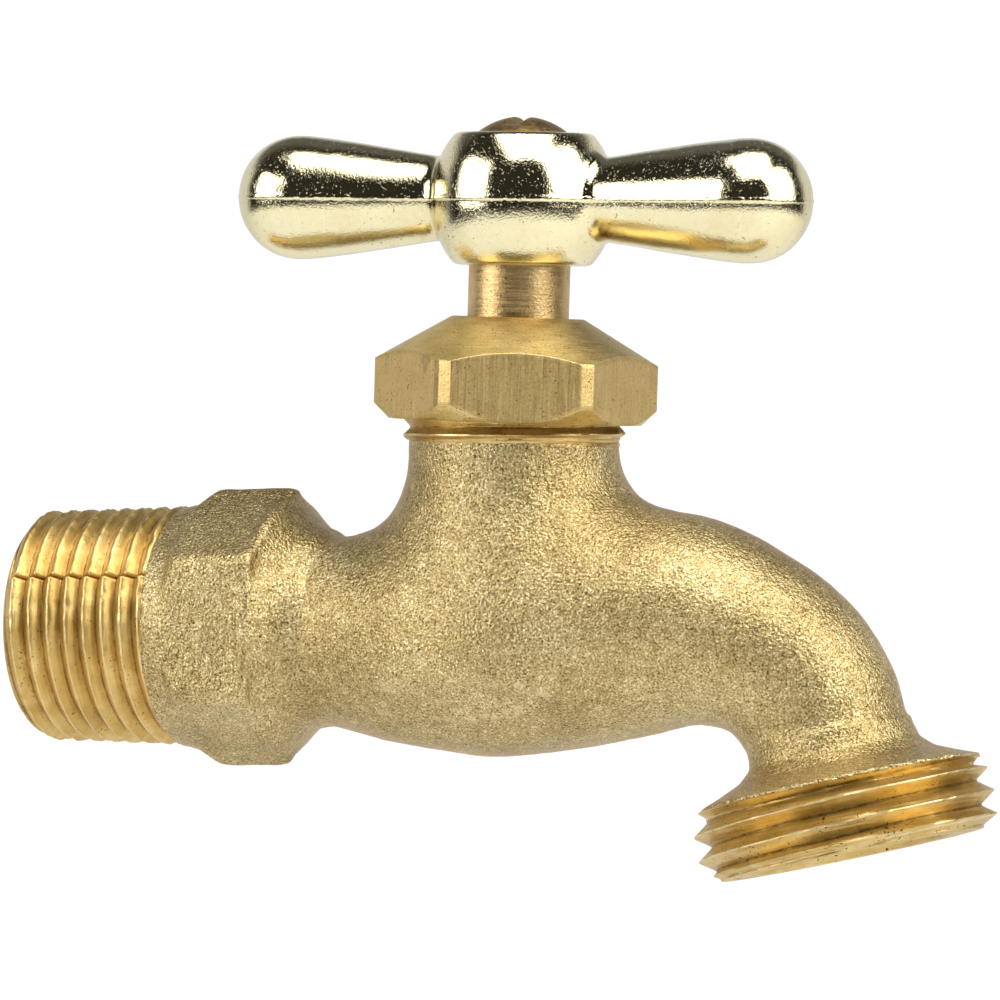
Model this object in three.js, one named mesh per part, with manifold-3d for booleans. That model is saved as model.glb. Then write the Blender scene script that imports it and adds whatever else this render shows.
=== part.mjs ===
// Hose bib: a cast brass garden tap with a male pipe inlet, a male hose outlet and a tee handle.
// Units are millimetres. The origin is the centre of the inlet's end face, +X runs along the inlet
// bore towards the spout and +Z is up. The packing nut, stem and handle share one axis, which leans
// slightly towards the spout: they are built along their own +Z and placed together in one group.

import * as THREE from 'three';
import { mergeVertices } from 'three/addons/utils/BufferGeometryUtils.js';
import { LoftGeometry } from 'three/addons/geometries/LoftGeometry.js';
import Module from 'manifold-3d';

const wasm = await Module();
wasm.setup();

// ---------------------------------------------------------------- driving dimensions

const GAP = 0.3;                 // clearance between neighbouring pieces
const ROUND_SIDES = 24;          // facets round a turned surface
const THREAD_SIDES = 16;         // facets in one turn of a small thread and round what it is cut on

const STEM_X = 45.65;            // inlet end face to the stem axis, along the inlet axis
const SPINE_X = 45.65;           // inlet end face to the middle of the cast belly
const BONNET_LEAN = 2.3;          // degrees that the stem axis leans towards the spout

// Inlet: 1/2 inch tapered pipe thread, then a wrench hexagon.
const INLET = { length: 14.1, endRadius: 10.45, taper: 1 / 32, pitch: 1.814, depth: 0.85, bore: 7.5 };
const HEX = { start: 14.1, end: 24.5, flats: 22.2, corner: 12.6, chamferRadius: 10.9, chamferEnd: 18.4 };
const HEX_FILLET = { radius: 11.2, end: 28.2, tube: 8.8 };

// Outlet: 3/4 inch garden hose thread on an axis tilted away from the vertical.
const OUTLET = { x: 78.6, z: -20.3, tilt: 12.7, pitch: 2.209, crest: 13.5, root: 12.05, phase: 0.82 };
const OUTLET_END = { lip: 11.9, mouth: 8.6, flange: 12.65, flangeHeight: 6.4 };

// Neck of the casting, which takes the packing nut.
const NECK = { radius: 9.45, castTop: 17, top: 21.6, threadCore: 9.5, threadCrest: 10.1, pitch: 1.5 };

// Stem thread: its lead sets how far the stem rises in one turn of the handle.
const STEM_THREAD = { lead: 2.54, core: 6.2, crest: 7.2, rootWidth: 1.3, crestWidth: 0.7 };
const STEM_THREADED = { bottom: 6, top: 14.4 };
const BODY_THREADED = { bottom: 9.2, top: 17 };
const SHANK = 4.575;             // radius of the smooth part of the stem
const TANG = { across: 6.5, bottom: 32.3, top: 41 };

const SEAT = { port: 4, rim: 5, moat: 0.8 };
const WASHER = { outer: 5.2, hole: 1.9, bottom: 0.3, top: 3 };
const WASHER_SCREW = { shank: 1.6, head: 2.7, headBottom: -1.6, headTop: 0, top: 9.4 };

const NUT = { bottom: 18.4, chamferTop: 19.9, coneBottom: 23.8, top: 27.8 };
const NUT_ACROSS = { flats: 22.7, corner: 12.75, bottom: 11.4, topFlat: 5.95 };
const NUT_TURN = -8.5;           // degrees from +X to one of the nut's flats
const PACKING = { inner: 4.9, outer: 7.1 };
const WASHER_STACK = { gland: [21.9, 22.5], packing: [22.8, 24.6], friction: [24.9, 25.5] };

const HUB = { middle: 38.4, radius: 8.35, halfHeight: 5.9, tilt: -1.1, shift: 0.15 };
const ARM = { rootAt: 7.5, rootRadius: 3.7, swellAt: 21, endRadius: 5.6, endCentre: 21.9 };
const HANDLE_SCREW = { head: 4.25, shank: 1.9, seat: 43.9, shoulder: 44.6, top: 45.9, bottom: 36 };
const SLOT = { width: 1.4, depth: 0.9, turn: -68 };

// ---------------------------------------------------------------- solids from geometries

/** A closed geometry, moved to its place, as a solid that can be joined and cut. */
function solid(geometry, placement = new THREE.Matrix4()) {
  geometry.deleteAttribute('normal');
  geometry.deleteAttribute('uv');
  const merged = mergeVertices(geometry.applyMatrix4(placement));
  const corners = merged.attributes.position.array;
  const faces = [];
  for (let i = 0; i < merged.index.count; i += 3) {
    const [a, b, c] = merged.index.array.slice(i, i + 3);
    if (a !== b && b !== c && c !== a) faces.push(a, b, c);
  }
  if (signedVolume(corners, faces) < 0) faces.reverse();
  const mesh = { numProp: 3, vertProperties: corners, triVerts: new Uint32Array(faces) };
  return new wasm.Manifold(new wasm.Mesh(mesh));
}

/** Six times the volume inside a list of faces; negative when they face inwards. */
function signedVolume(corners, faces) {
  let volume = 0;
  for (let i = 0; i < faces.length; i += 3) {
    const [a, b, c] = [0, 1, 2].map((k) => new THREE.Vector3().fromArray(corners, 3 * faces[i + k]));
    volume += a.dot(b.cross(c));
  }
  return volume;
}

/** The finished geometry of a solid. */
function geometryOf(manifold) {
  const mesh = manifold.getMesh();
  const geometry = new THREE.BufferGeometry();
  geometry.setAttribute('position', new THREE.BufferAttribute(mesh.vertProperties, 3));
  geometry.setIndex(new THREE.BufferAttribute(mesh.triVerts, 1));
  geometry.computeVertexNormals();
  return geometry;
}

/** A profile of [radius, height] points turned round +Z. */
function turned(profile, placement, sides = ROUND_SIDES) {
  const points = profile.map(([radius, height]) => new THREE.Vector2(radius, height));
  return solid(new THREE.LatheGeometry(points, sides).rotateX(Math.PI / 2), placement);
}

/** A plain cylinder or ring between two heights. */
function ring(inner, outer, bottom, top, placement, sides) {
  const profile = [[inner, bottom], [outer, bottom], [outer, top], [inner, top]];
  return turned(inner > 0 ? [...profile, profile[0]] : profile, placement, sides);
}

/** A regular hexagonal prism along +Z, with one flat facing the given angle. */
function hexPrism(acrossFlats, bottom, top, flatAngle, placement) {
  const cornerRadius = acrossFlats / 2 / Math.cos(Math.PI / 6);
  const corners = Array.from({ length: 6 }, (_, k) => {
    const angle = THREE.MathUtils.degToRad(flatAngle + 30 + 60 * k);
    return new THREE.Vector2(cornerRadius * Math.cos(angle), cornerRadius * Math.sin(angle));
  });
  const options = { depth: top - bottom, bevelEnabled: false };
  const prism = new THREE.ExtrudeGeometry(new THREE.Shape(corners), options);
  return solid(prism.translate(0, 0, bottom), placement);
}

/** A smooth solid through elliptical sections, each { x, z, drop, wide, high }: drop is the angle
 *  in degrees by which the run of the sections points down from +X. */
function lofted(stations, placement, spans = 2) {
  const centres = stations.map(({ x, z, drop = 0 }) => new THREE.Vector3(x, drop, z));
  const sizes = stations.map(({ wide, high = wide }) => new THREE.Vector3(wide, high, 0));
  const centreAt = new THREE.CatmullRomCurve3(centres);
  const sizeAt = new THREE.CatmullRomCurve3(sizes);
  const steps = spans * (stations.length - 1);
  const sections = Array.from({ length: steps + 1 }, (_, step) => {
    const centre = centreAt.getPoint(step / steps);
    const size = sizeAt.getPoint(step / steps);
    const lean = THREE.MathUtils.degToRad(centre.y);
    return Array.from({ length: ROUND_SIDES }, (_, k) => {
      const turn = (2 * Math.PI * k) / ROUND_SIDES;
      const up = size.y * Math.sin(turn);
      const across = size.x * Math.cos(turn);
      return new THREE.Vector3(centre.x + up * Math.sin(lean), across, centre.z + up * Math.cos(lean));
    });
  });
  return solid(new LoftGeometry(sections, { capStart: true, capEnd: true }), placement);
}

/** The ridge of a right-hand thread wound round +Z. A crest crosses +X at the phase height. */
function ridge(thread, placement) {
  const { core, crest, rootWidth, crestWidth = 0, pitch, from, to } = thread;
  const { taper = 0, phase = 0, sides = THREAD_SIDES } = thread;
  const rise = pitch / sides;
  const first = Math.ceil((from - phase) / rise);
  const steps = Math.floor((to - phase) / rise) - first;
  const sections = Array.from({ length: steps + 1 }, (_, step) => {
    const height = phase + rise * (first + step);
    const turn = (2 * Math.PI * (first + step)) / sides;
    const crestCorners = crestWidth ? [[crest, crestWidth], [crest, -crestWidth]] : [[crest, 0]];
    return [[core, rootWidth], ...crestCorners, [core, -rootWidth]].map(([radius, width]) => {
      const out = radius + taper * height;
      return new THREE.Vector3(out * Math.cos(turn), out * Math.sin(turn), height + width / 2);
    });
  });
  return solid(new LoftGeometry(sections, { capStart: true, capEnd: true }), placement);
}

/** Points on an arc of the given centre on the axis, as [radius, height], between two angles. */
function arc(centre, radius, startAngle, endAngle, steps) {
  return Array.from({ length: steps + 1 }, (_, k) => {
    const angle = THREE.MathUtils.degToRad(startAngle + ((endAngle - startAngle) * k) / steps);
    return [Math.max(0, radius * Math.cos(angle)), centre + radius * Math.sin(angle)];
  });
}

function union(first, ...others) {
  return others.reduce((joined, next) => joined.add(next), first);
}

function cut(stock, ...tools) {
  return tools.reduce((left, tool) => left.subtract(tool), stock);
}

// ---------------------------------------------------------------- local frames

const AT_INLET = new THREE.Matrix4().makeRotationY(Math.PI / 2);
const AT_BONNET = new THREE.Matrix4()
  .makeTranslation(STEM_X, 0, 0)
  .multiply(new THREE.Matrix4().makeRotationY(THREE.MathUtils.degToRad(BONNET_LEAN)));
const AT_OUTLET = new THREE.Matrix4()
  .makeTranslation(OUTLET.x, 0, OUTLET.z)
  .multiply(new THREE.Matrix4().makeRotationY(THREE.MathUtils.degToRad(-OUTLET.tilt)));

// The handle sits a little crooked on the stem's square, about the middle of its hub.
const AT_HUB = new THREE.Matrix4()
  .makeTranslation(HUB.shift, 0, HUB.middle)
  .multiply(new THREE.Matrix4().makeRotationY(THREE.MathUtils.degToRad(HUB.tilt)));

// ---------------------------------------------------------------- valve body

/** Tapered pipe thread with a small lead-in chamfer at its end. */
function inletThread() {
  const { length, endRadius, taper, pitch, depth } = INLET;
  const farRadius = endRadius + taper * length;
  const core = turned(
    [[0, 0], [endRadius - depth, 0], [farRadius - depth, length + 1], [0, length + 1]],
    AT_INLET,
    THREAD_SIDES,
  );
  const thread = ridge({
    core: endRadius - depth - GAP,
    crest: endRadius,
    rootWidth: 0.97 * pitch,
    pitch,
    from: -pitch,
    to: length + 0.5,
    taper,
  }, AT_INLET);
  const envelope = turned(
    [[0, 0], [endRadius - depth, 0], [endRadius + 0.02, 0.8], [farRadius + 0.2, length + 0.7], [0, length + 0.7]],
    AT_INLET,
    THREAD_SIDES,
  );
  return core.add(thread).intersect(envelope);
}

/** Wrench hexagon, chamfered at the thread and filleted into the cast tube. */
function inletHex() {
  const { start, end, flats, corner, chamferRadius, chamferEnd } = HEX;
  const envelope = turned([
    [0, start], [chamferRadius, start], [chamferRadius + 0.5, start + 2.3], [corner - 0.2, chamferEnd - 1],
    [corner, chamferEnd], [corner, end - 1], [corner - 0.3, end], [0, end],
  ], AT_INLET, 2 * ROUND_SIDES);
  const fillet = turned([
    [0, end - 1], [HEX_FILLET.radius, end - 1], [HEX_FILLET.radius, end], [10.2, end + 1],
    [9.3, end + 2.2], [HEX_FILLET.tube, HEX_FILLET.end], [0, HEX_FILLET.end],
  ], AT_INLET);
  return hexPrism(flats, start, end, 30, AT_INLET).intersect(envelope).add(fillet);
}

/** The cast tube from the hexagon through the belly to the end of the spout. */
function castTube() {
  return lofted([
    { x: SPINE_X - 24, z: -0.3, wide: 8.7, high: 8.6 },
    { x: SPINE_X - 17.5, z: -0.5, wide: 8.9, high: 8.6 },
    { x: SPINE_X - 10.6, z: -1.1, wide: 10, high: 9.5 },
    { x: SPINE_X - 1.2, z: -1.2, wide: 11.2, high: 10.5 },
    { x: SPINE_X + 8, z: -0.2, drop: 4, wide: 11.2, high: 10.8 },
    { x: SPINE_X + 15.5, z: 0.2, drop: 14, wide: 10.4, high: 10.2 },
    { x: SPINE_X + 21.7, z: -0.9, drop: 31, wide: 9.3, high: 9.1 },
    { x: SPINE_X + 26.2, z: -3.3, drop: 48, wide: 8.5, high: 8.2 },
    { x: SPINE_X + 29.3, z: -6.9, drop: 63, wide: 7.7 },
    { x: SPINE_X + 31, z: -10.6, drop: 74, wide: 7.2 },
    { x: SPINE_X + 31.9, z: -14.1, drop: 90 - OUTLET.tilt, wide: 7.2 },
  ]);
}

/** The neck that rises out of the belly, with its male thread for the packing nut. */
function neck() {
  const { radius, castTop, top, threadCore, threadCrest, pitch } = NECK;
  const flare = lofted([
    { x: 0, z: 3, drop: -90, wide: 9.5, high: 15 },
    { x: 0, z: 8, drop: -90, wide: 10, high: 15 },
    { x: 1.2, z: 8.7, drop: -90, wide: 10.2, high: 14.6 },
    { x: 2.1, z: 9.6, drop: -90, wide: 10.2, high: 13.8 },
    { x: 1.5, z: 11.2, drop: -90, wide: 10, high: 11.9 },
    { x: 0.7, z: 12.3, drop: -90, wide: 9.8, high: 10.5 },
    { x: 0.2, z: 14.7, drop: -90, wide: radius },
    { x: 0, z: castTop, drop: -90, wide: radius },
  ], AT_BONNET, 1);
  const core = turned(
    [[0, castTop - 1], [threadCore, castTop - 1], [threadCore, top], [0, top]],
    AT_BONNET,
    THREAD_SIDES,
  );
  const thread = ridge({
    core: threadCore - GAP,
    crest: threadCrest,
    rootWidth: 0.9 * pitch,
    pitch,
    from: castTop - 0.4,
    to: castTop + 2.2 * pitch,
  }, AT_BONNET);
  const envelope = turned(
    [[0, castTop - 1], [threadCrest, castTop - 1], [threadCrest, top - 0.6], [threadCore, top], [0, top]],
    AT_BONNET,
    THREAD_SIDES,
  );
  return flare.add(core.add(thread).intersect(envelope));
}

/** Hose thread with its flange; heights run from the end face up into the spout. */
function hoseThread() {
  const { pitch, crest, root, phase } = OUTLET;
  const { lip, flange, flangeHeight } = OUTLET_END;
  const core = turned([
    [0, 0], [lip, 0], [root, 0.4], [root, flangeHeight - 0.4], [flange - 0.3, flangeHeight - 0.3],
    [flange, flangeHeight], [flange, flangeHeight + 0.2], [11, flangeHeight + 0.9],
    [9.1, flangeHeight + 1.8], [7.9, flangeHeight + 3], [7.3, flangeHeight + 4.4], [0, flangeHeight + 4.4],
  ], AT_OUTLET);
  const thread = ridge({
    core: root - GAP,
    crest,
    rootWidth: 0.97 * pitch,
    pitch,
    from: -pitch,
    to: flangeHeight - 0.2,
    phase,
    sides: ROUND_SIDES,
  }, AT_OUTLET);
  const envelope = turned(
    [[0, 0], [lip, 0], [13, 0.8], [crest + 0.1, 1.5], [crest + 0.1, 12], [0, 12]],
    AT_OUTLET,
  );
  return core.add(thread).intersect(envelope);
}

/** Every space inside the casting: inlet passage, seat, valve chamber, stem thread and spout. */
function waterway() {
  const inlet = lofted([
    { x: -1, z: 0, wide: INLET.bore },
    { x: 20, z: 0, wide: INLET.bore },
    { x: STEM_X - 17.8, z: -0.9, wide: 7, high: 6.6 },
    { x: STEM_X - 12.3, z: -3.2, wide: 6.4, high: 5 },
    { x: STEM_X - 7.3, z: -5.5, wide: 6.2, high: 3.6 },
    { x: STEM_X, z: -5.8, wide: 6, high: 3.3 },
    { x: STEM_X + 5.2, z: -5.8, wide: 5, high: 3.1 },
  ]);
  const port = ring(0, SEAT.port, -6, 0.1, AT_BONNET);
  const chamber = turned([
    [0, 0], [SEAT.rim, 0], [SEAT.rim, -SEAT.moat], [SEAT.rim + 1.4, -SEAT.moat], [7.6, 1.2],
    [7.6, BODY_THREADED.bottom], [0, BODY_THREADED.bottom],
  ], AT_BONNET);
  const minorBore = ring(0, STEM_THREAD.core + GAP, 1, NECK.top + 1, AT_BONNET, THREAD_SIDES);
  const groove = stemRidge(2 * GAP, GAP, BODY_THREADED.bottom - 1, BODY_THREADED.top + 1, AT_BONNET);
  const counterbore = ring(0, 7.6, BODY_THREADED.top, NECK.top + 1, AT_BONNET);
  const outlet = lofted([
    { x: STEM_X + 1.5, z: 4.4, wide: 3.9 },
    { x: STEM_X + 8, z: 4.4, drop: 5, wide: 4.4 },
    { x: STEM_X + 15, z: 2.6, drop: 20, wide: 5.2 },
    { x: STEM_X + 21.5, z: -0.8, drop: 38, wide: 5.6 },
    { x: STEM_X + 26.3, z: -5, drop: 56, wide: 5.7 },
    { x: STEM_X + 29.4, z: -9.8, drop: 71, wide: 5.8 },
    { x: STEM_X + 30.9, z: -14, drop: 90 - OUTLET.tilt, wide: 6.4 },
  ]);
  const { mouth, flangeHeight } = OUTLET_END;
  const socket = turned(
    [[0, -1], [mouth + 0.8, -1], [mouth + 0.8, 0], [mouth, 0.8], [mouth, flangeHeight - 1], [6, flangeHeight + 1],
      [0, flangeHeight + 1]],
    AT_OUTLET,
  );
  return [inlet, port, chamber, minorBore, groove, counterbore, outlet, socket];
}

/** The stem's thread, or with some play the groove that it runs in. */
function stemRidge(sidePlay, depthPlay, from, to, placement) {
  const { lead, core, crest, rootWidth, crestWidth } = STEM_THREAD;
  return ridge({
    core: core - GAP,
    crest: crest + depthPlay,
    rootWidth: rootWidth + sidePlay,
    crestWidth: crestWidth + sidePlay,
    pitch: lead,
    from,
    to,
  }, placement);
}

function valveBody() {
  return cut(union(inletThread(), inletHex(), castTube(), neck(), hoseThread()), ...waterway());
}

// ---------------------------------------------------------------- stem and seat washer

function stem() {
  const { bottom, top } = STEM_THREADED;
  const cupFloor = WASHER.top + GAP;
  const cupInner = WASHER.outer + GAP;
  const tapped = WASHER_SCREW.shank + GAP;
  const turnedStem = turned([
    [0, WASHER_SCREW.top + GAP], [tapped, WASHER_SCREW.top + GAP], [tapped, cupFloor], [cupInner, cupFloor],
    [cupInner, 1.4], [6.1, 1.4], [6.1, 4.4], [4.4, 5.2], [4.4, bottom - 0.4], [STEM_THREAD.core, bottom],
    [STEM_THREAD.core, top], [SHANK, top + 0.3], [SHANK, TANG.bottom], [0, TANG.bottom],
  ], undefined, THREAD_SIDES);
  const thread = stemRidge(0, 0, bottom + 0.8, top - 0.8);
  const half = TANG.across / 2;
  const tang = new THREE.BoxGeometry(TANG.across, TANG.across, TANG.top - TANG.bottom + 1);
  const round = turned([
    [0, TANG.bottom - 1], [SHANK, TANG.bottom - 1], [SHANK, TANG.top - 0.4], [half, TANG.top], [0, TANG.top],
  ], undefined, THREAD_SIDES);
  const middle = (TANG.top + TANG.bottom - 1) / 2;
  const squared = solid(tang.translate(0, 0, middle)).intersect(round);
  const tappedTop = ring(0, HANDLE_SCREW.shank + GAP, HANDLE_SCREW.bottom - 1, TANG.top + 1);
  return cut(union(turnedStem, thread, squared), tappedTop);
}

/** Washer screw with a pan head below the washer and a driver slot. */
function seatWasherScrew() {
  const { shank, head, headBottom, headTop, top } = WASHER_SCREW;
  const blank = turned([
    [0, headBottom], [head - 0.8, headBottom], [head, headBottom + 0.6], [head, headTop], [shank, headTop],
    [shank, top - 0.4], [shank - 0.4, top], [0, top],
  ]);
  const slot = new THREE.BoxGeometry(0.8, 2 * head + 1, 1.2).translate(0, 0, headBottom);
  return cut(blank, solid(slot));
}

// ---------------------------------------------------------------- packing nut

function packingNut() {
  const { bottom, chamferTop, coneBottom, top } = NUT;
  const { flats, corner, bottom: bottomRadius, topFlat } = NUT_ACROSS;
  const envelope = turned([
    [0, bottom], [bottomRadius, bottom], [corner, chamferTop - 0.15], [corner, coneBottom], [topFlat, top],
    [0, top],
  ], undefined, 2 * ROUND_SIDES);
  const stock = hexPrism(flats, bottom, top, NUT_TURN).intersect(envelope);
  const bore = NECK.threadCrest + GAP;
  const glandTop = WASHER_STACK.gland[1] + GAP;
  const roof = WASHER_STACK.friction[1] + GAP;
  const cavity = turned([
    [0, bottom - 1], [bore + 1.2, bottom - 1], [bore + 0.4, bottom], [bore, bottom + 0.5], [bore, glandTop],
    [PACKING.outer + GAP, glandTop], [PACKING.outer + GAP, roof], [PACKING.inner, roof],
    [PACKING.inner, top + 1], [0, top + 1],
  ]);
  return cut(stock, cavity);
}

// ---------------------------------------------------------------- handle

/** One swelling arm of the handle, from inside the hub to its round end. */
function arm(side) {
  const placement = AT_HUB.clone().multiply(new THREE.Matrix4().makeRotationY((side * Math.PI) / 2));
  return turned([
    [0, 0], [ARM.rootRadius, 0], [ARM.rootRadius, ARM.rootAt], [ARM.endRadius, ARM.swellAt],
    ...arc(ARM.endCentre, ARM.endRadius, 0, 90, 8),
  ], placement);
}

function handle() {
  const { middle, radius, halfHeight } = HUB;
  const crown = THREE.MathUtils.radToDeg(Math.asin(halfHeight / radius));
  const hub = turned([[0, -halfHeight], ...arc(0, radius, -crown, crown, 10), [0, halfHeight]], AT_HUB);
  const square = TANG.across + 2 * GAP;
  const socketTop = TANG.top + GAP;
  const socketBottom = middle - halfHeight - 1;
  const socket = new THREE.BoxGeometry(square, square, socketTop - socketBottom);
  const screwHole = ring(0, HANDLE_SCREW.shank + GAP, socketTop - 1, middle + halfHeight + 1);
  const headSeat = ring(0, HANDLE_SCREW.head + GAP, HANDLE_SCREW.seat - GAP, middle + halfHeight + 1);
  return cut(
    union(hub, arm(1), arm(-1)),
    solid(socket.translate(0, 0, (socketTop + socketBottom) / 2)),
    screwHole,
    headSeat,
  );
}

/** Domed slotted screw that holds the handle on the stem's square tang. */
function handleScrew() {
  const { head, shank, seat, shoulder, top, bottom } = HANDLE_SCREW;
  const rise = top - shoulder;
  const domeRadius = (head * head + rise * rise) / (2 * rise);
  const edge = THREE.MathUtils.radToDeg(Math.acos(head / domeRadius));
  const blank = turned([
    [0, bottom], [shank - 0.4, bottom], [shank, bottom + 0.4], [shank, seat], [head, seat],
    ...arc(top - domeRadius, domeRadius, edge, 90, 6),
  ]);
  const slot = new THREE.BoxGeometry(2 * head + 1, SLOT.width, 2 * SLOT.depth);
  slot.rotateZ(THREE.MathUtils.degToRad(SLOT.turn)).translate(0, 0, top);
  return cut(blank, solid(slot));
}

// ---------------------------------------------------------------- assembly

const CAST_BRASS = { color: 0xb99d5f, roughness: 0.5, metalness: 0.9 };
const TURNED_BRASS = { color: 0xc29a52, roughness: 0.35, metalness: 0.95 };
const STEM_BRASS = { color: 0xb58a55, roughness: 0.4, metalness: 0.95 };
const POLISHED_BRASS = { color: 0xe3c878, roughness: 0.12, metalness: 1 };
const SCREW_BRASS = { color: 0x8f6f35, roughness: 0.35, metalness: 0.95 };
const BLACK_RUBBER = { color: 0x1d1c1b, roughness: 0.85, metalness: 0 };
const GRAPHITE = { color: 0x3b3a38, roughness: 0.7, metalness: 0.1 };

function part(name, manifold, finish) {
  const mesh = new THREE.Mesh(geometryOf(manifold), new THREE.MeshStandardMaterial(finish));
  mesh.name = name;
  return mesh;
}

const { gland, packing, friction } = WASHER_STACK;
const bonnet = new THREE.Group();
bonnet.position.x = STEM_X;
bonnet.rotation.y = THREE.MathUtils.degToRad(BONNET_LEAN);
bonnet.add(
  part('packing_nut', packingNut(), TURNED_BRASS),
  part('gland_washer', ring(PACKING.inner, NECK.threadCrest, ...gland), TURNED_BRASS),
  part('stem_packing', ring(PACKING.inner, PACKING.outer, ...packing), GRAPHITE),
  part('friction_ring', ring(PACKING.inner, PACKING.outer, ...friction), TURNED_BRASS),
  part('stem', stem(), STEM_BRASS),
  part('seat_washer', ring(WASHER.hole, WASHER.outer, WASHER.bottom, WASHER.top), BLACK_RUBBER),
  part('seat_washer_screw', seatWasherScrew(), SCREW_BRASS),
  part('handle', handle(), POLISHED_BRASS),
  part('handle_screw', handleScrew(), SCREW_BRASS),
);

const hoseBib = new THREE.Group();
hoseBib.add(part('valve_body', valveBody(), CAST_BRASS), bonnet);

export default hoseBib;
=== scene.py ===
"""Hose bib: the visual model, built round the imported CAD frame.

Lengths in the modelling half are millimetres in the CAD frame: the origin is the centre of the
inlet's end face, +X runs towards the spout and +Z is up. Meshes are scaled to metres when they are
made. The nut, stem, handle and screw share the bonnet axis, which leans a little towards the spout.
"""

import math

import bmesh
import bpy
import numpy as np
from mathutils import Matrix, Vector


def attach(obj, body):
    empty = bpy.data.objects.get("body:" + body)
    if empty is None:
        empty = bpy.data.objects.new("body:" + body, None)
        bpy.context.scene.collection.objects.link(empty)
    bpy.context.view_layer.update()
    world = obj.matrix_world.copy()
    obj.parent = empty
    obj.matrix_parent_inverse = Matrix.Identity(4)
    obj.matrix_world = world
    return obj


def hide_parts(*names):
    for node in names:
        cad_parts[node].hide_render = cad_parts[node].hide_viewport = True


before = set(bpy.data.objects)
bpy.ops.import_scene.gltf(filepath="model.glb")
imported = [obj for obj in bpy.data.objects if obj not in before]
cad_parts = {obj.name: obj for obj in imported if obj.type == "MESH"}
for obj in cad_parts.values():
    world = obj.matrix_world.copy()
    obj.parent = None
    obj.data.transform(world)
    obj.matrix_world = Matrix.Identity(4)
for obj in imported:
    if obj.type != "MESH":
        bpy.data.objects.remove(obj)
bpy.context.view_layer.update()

MM = 0.001
TURN = 2 * math.pi
SIN_60 = 0.8660254


def fineness(full):
    return full


# ------ sizes: the CAD model's, a little less regular in places

STEM_X = 45.65
LEAN = 2.3

# Inlet thread: sharpness bends the flanks, lead_in and lead_slope are the chamfer at the end face.
INLET = dict(end_radius=10.45, taper=1 / 32, pitch=1.814, depth=0.82, crest_flat=0.09, sharpness=1.3,
             lead_in=1.05, lead_slope=1.15, top=14.3)
INLET_BACK = [(9.6, 14.5), (7.5, 14.5), (7.5, 7), (7.5, 0.7), (8.0, 0.0)]
# Where the two mould halves met: a groove with a raised lip beside it, and a thread that has slipped.
SEAM = dict(angle=243.5, radius=10.2, slip=0.28, groove=0.204, groove_width=0.09,
            lip=0.08, lip_offset=0.28, lip_width=0.12, far_lip=0.3)

HEX = dict(start=14.1, end=25.0, flats=22.2, low=0.12, edge_blend=0.7, end_blend=0.6, fillet_blend=0.5,
           slant=0.04, slant_start=20, slant_reach=4, slant_shift=0.25)
HEX_ENVELOPE = [(10.8, 14.1), (11.3, 16.2), (12.6, 17.5), (12.97, 18.4), (12.97, 24.0), (12.5, 25.0)]
HEX_FILLET = [(11.5, 24.9), (10.4, 26.0), (9.3, 27.2), (8.8, 28.4)]
HEX_FILLET_START = 24.0

OUTLET = dict(x=78.45, z=-20.3, tilt=12.15, pitch=2.209, crest=13.5, root=12.05, crest_flat=0.05,
              phase=0.82, top=6.35)
OUTLET_LIP = dict(radius=11.85, rounding=0.15, rounded_over=0.1, chamfer_start=0.3, chamfer_slope=1.9,
                  groove=0.07, groove_at=0.2, groove_width=0.05)
OUTLET_RUN_OUT = dict(start=5.2, length=0.5, radius=12.1, rise_start=5.7, rise_slope=1.1)
OUTLET_BACK = [(12.6, 6.42), (7.37, 6.42), (8.6, 5.4), (8.6, 0.8), (9.2, 0.0), (9.4, 0.0), (10.2, 0.0),
               (10.3, 0.12), (10.9, 0.12), (11.0, 0.0)]
OUTLET_FLANGE = [(12.75, 6.3), (12.6, 6.6), (10.9, 7.25), (8.95, 8.1), (7.7, 9.2), (7.15, 10.8)]
FLANGE_SHIFT = 0.25

NECK = dict(radius=9.45, bottom=-2, top=16.8)
NECK_THREAD = dict(core=9.5, crest=10.0, pitch=1.5, phase=-0.45, crest_flat=0.12, root_round=0.2,
                   undercut=0.15, bottom=16.5, top=21.6, chamfer_start=21.0,
                   begin=16.4, begin_rise=0.9, begin_slope=1.5, begin_height=0.05)
NECK_BACK = [(9.0, 21.6), (7.6, 21.6), (7.6, 16.6), (9.0, 16.45)]

# Spaces round the bonnet axis.
PORT = dict(radius=4.0, bottom=-6, top=0.1)
CHAMBER = [(6.4, -0.8), (7.6, 1.2), (7.6, 9.2)]
SEAT_RADIUS = 5.0
THREAD_BORE = dict(radius=6.5, bottom=1, top=22.6)
THREAD_GROOVE = dict(radius=7.5, bottom=8.2, top=18, half_width=0.95, foot=5.9, flank=0.19, steepness=0.95)
COUNTERBORE = dict(radius=7.6, bottom=17, top=22.6)
SOCKET = [(9.4, 0), (8.6, 0.8), (8.6, 5.4), (6, 7.4)]
SOCKET_BOTTOM = -1

STEM_THREAD = dict(lead=2.54, core=6.2, crest=7.2, bottom=6.0, top=14.4, half_foot=0.65, flank=0.3, fade=0.8)
STEM_ROWS = [0, 0.07, 0.138, 0.2, 0.256, 0.35, 0.5, 0.65, 0.744, 0.8, 0.862, 0.93]
SHANK = 4.575
SHANK_HEIGHTS = [14.8, 20, 26, 29, 32.3, 32.6]
TANG = dict(across=6.5, top=41.0, chamfer=0.3)
TANG_HEIGHTS = [32.62, 36, 40.6]
TANG_HOLE = [(2.2, 41), (2.2, 35), (0, 35)]
STEM_CUP = [(0, 9.7), (1.9, 9.7), (1.9, 3.3), (5.5, 3.3), (5.5, 1.4), (5.9, 1.4), (6.1, 1.6), (6.1, 4.4),
            (4.4, 5.2), (4.4, 5.6)]

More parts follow.
